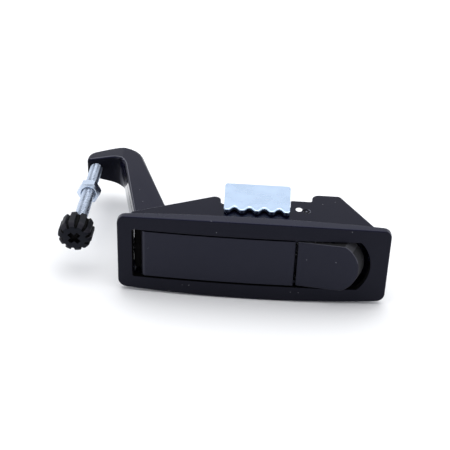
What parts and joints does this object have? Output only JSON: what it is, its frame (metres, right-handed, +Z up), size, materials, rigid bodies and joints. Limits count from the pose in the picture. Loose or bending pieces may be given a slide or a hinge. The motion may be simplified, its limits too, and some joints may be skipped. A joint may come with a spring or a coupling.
{
  "type": "lever latch",
  "caption": "Flush panel latch: a crowned bezel holds a lever with a trigger release, and a hooked arm behind it carries an adjusting bolt with a bumper knob.",
  "frame": {"origin": "centre of the bezel's seat on the front of the panel", "axes": "+X along the bezel from the lever's pivot to its trigger, +Y through the panel into the machine, +Z up"},
  "size_m": [0.1945, 0.1144, 0.0528],
  "materials": {
    "coat": "satin black powder coat",
    "zinc": "bright bluish zinc plate",
    "steel": "plain machined steel",
    "moulded": "black moulded plastic"
  },
  "bodies": {
    "housing": {"bezel": "coat", "upper_side_plate": "coat", "lower_side_plate": "coat", "left_wall": "coat", "end_plate": "coat", "upper_threaded_lug": "coat", "lower_threaded_lug": "coat", "main_pivot_pin": "coat", "catch_pin": "coat"},
    "lever": {"lever_paddle": "coat", "arm": "coat", "cross_pin": "steel", "arm_shims": "steel", "pivot_washers": "steel", "trigger_pin": "steel"},
    "trigger_set": {"trigger": "coat", "catch_hook": "steel", "hook_rivet": "steel", "trigger_spring": "steel"},
    "bolt": {"adjusting_bolt": "zinc"},
    "knob": {"bumper_knob": "moulded"},
    "nut": {"jam_nut": "zinc"},
    "upper_bracket": {"upper_clamp_bracket": "zinc"},
    "lower_bracket": {"lower_clamp_bracket": "zinc"},
    "upper_screw": {"upper_clamp_screw": "zinc"},
    "lower_screw": {"lower_clamp_screw": "zinc"}
  },
  "joints": [
    {"name": "lever_swing", "type": "hinge", "parent": "housing", "child": "lever", "pos_m": [-0.056, 0.0065, 0], "axis": [0, 0, 1], "range_deg": [-78, 0]},
    {"name": "trigger_pull", "type": "hinge", "parent": "lever", "child": "trigger_set", "pos_m": [0.028, -0.001, 0], "axis": [0, 0, 1], "range_deg": [-14, 8], "stiffness_Nm_per_rad": 0.08, "deforming": ["trigger_spring"]},
    {"name": "bolt_feed", "type": "slide", "parent": "lever", "child": "bolt", "axis": [0, 1, 0], "range_m": [-0.005, 0.01]},
    {"name": "knob_turn", "type": "hinge", "parent": "bolt", "child": "knob", "pos_m": [-0.1058, 0.0126, 0], "axis": [0, 1, 0], "range_deg": [-1440, 2880]},
    {"name": "jam_nut_run", "type": "slide", "parent": "bolt", "child": "nut", "axis": [0, 1, 0], "range_m": [-0.03, 0.0135]},
    {"name": "upper_bracket_slide", "type": "slide", "parent": "housing", "child": "upper_bracket", "axis": [0, -1, 0], "range_m": [-0.0014, 0.0119]},
    {"name": "upper_screw_turn", "type": "hinge", "parent": "upper_bracket", "child": "upper_screw", "pos_m": [0.001, 0.0456, 0.0142], "axis": [0, -1, 0], "range_deg": [-720, 6120]},
    {"name": "lower_bracket_slide", "type": "slide", "parent": "housing", "child": "lower_bracket", "axis": [0, -1, 0], "range_m": [-0.0014, 0.0119]},
    {"name": "lower_screw_turn", "type": "hinge", "parent": "lower_bracket", "child": "lower_screw", "pos_m": [0.001, 0.0456, -0.0142], "axis": [0, -1, 0], "range_deg": [-720, 6120]}
  ],
  "couplings": [
    {"joint": "knob_turn", "follows": "bolt_feed", "rad_per_m": 5026.5},
    {"joint": "upper_screw_turn", "follows": "upper_bracket_slide", "rad_per_m": 8976},
    {"joint": "lower_screw_turn", "follows": "lower_bracket_slide", "rad_per_m": 8976}
  ]
}
